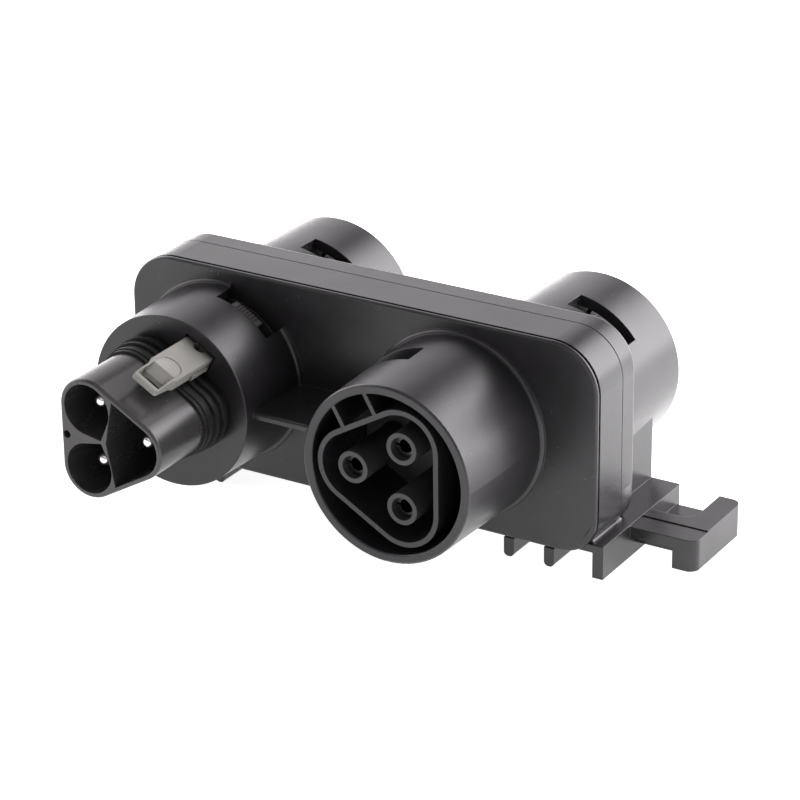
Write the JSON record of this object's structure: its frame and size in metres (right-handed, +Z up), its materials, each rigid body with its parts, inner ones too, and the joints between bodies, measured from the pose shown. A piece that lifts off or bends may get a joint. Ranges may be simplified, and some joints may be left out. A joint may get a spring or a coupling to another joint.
{
  "type": "distribution block",
  "caption": "Slab-shaped black power distribution block with a latching plug inlet, round socket outlets front and rear, ribbed mounting base and end hook.",
  "frame": {"origin": "middle of the outline's bounding box in X and Y, on the plane that the base ribs and flanges stand on", "axes": "+X along the slab towards the hook, -Y out of the front face with the plug inlet, +Z up from the base"},
  "size_m": [0.1124, 0.0768, 0.0435],
  "materials": {
    "cover_black": "satin moulded plastic",
    "housing_black": "satin moulded plastic",
    "plug_black": "satin moulded plastic",
    "carrier_black": "satin moulded plastic",
    "gasket_black": "dull rubber",
    "seal_black": "dull rubber",
    "latch_grey": "satin moulded plastic",
    "spring_steel": "drawn wire",
    "tinned_contact": "tin plated",
    "busbar_brass": "bare strip"
  },
  "bodies": {
    "housing": {"front_cover": "cover_black", "cover_gasket": "gasket_black", "main_housing": "housing_black", "plug_insert": "plug_black", "plug_seal": "seal_black", "latch_pin": "spring_steel", "latch_spring": "spring_steel", "contact_pin_line": "tinned_contact", "contact_pin_neutral": "tinned_contact", "contact_pin_earth": "tinned_contact", "contact_carrier_front": "carrier_black", "contact_carrier_rear_left": "carrier_black", "contact_carrier_rear_right": "carrier_black", "contact_sleeve_front_line": "tinned_contact", "contact_sleeve_front_neutral": "tinned_contact", "contact_sleeve_front_earth": "tinned_contact", "contact_sleeve_rear_left_line": "tinned_contact", "contact_sleeve_rear_left_neutral": "tinned_contact", "contact_sleeve_rear_left_earth": "tinned_contact", "contact_sleeve_rear_right_line": "tinned_contact", "contact_sleeve_rear_right_neutral": "tinned_contact", "contact_sleeve_rear_right_earth": "tinned_contact", "busbar_line": "busbar_brass", "busbar_neutral": "busbar_brass", "busbar_earth": "busbar_brass"},
    "latch_body": {"latch": "latch_grey"}
  },
  "joints": [
    {"name": "latch_hinge", "type": "hinge", "parent": "housing", "child": "latch_body", "pos_m": [-0.02977, -0.01295, 0.03336], "axis": [-0.866, 0, 0.5], "range_deg": [0, 3.5], "stiffness_Nm_per_rad": 0.06, "springref_deg": -1.72}
  ]
}
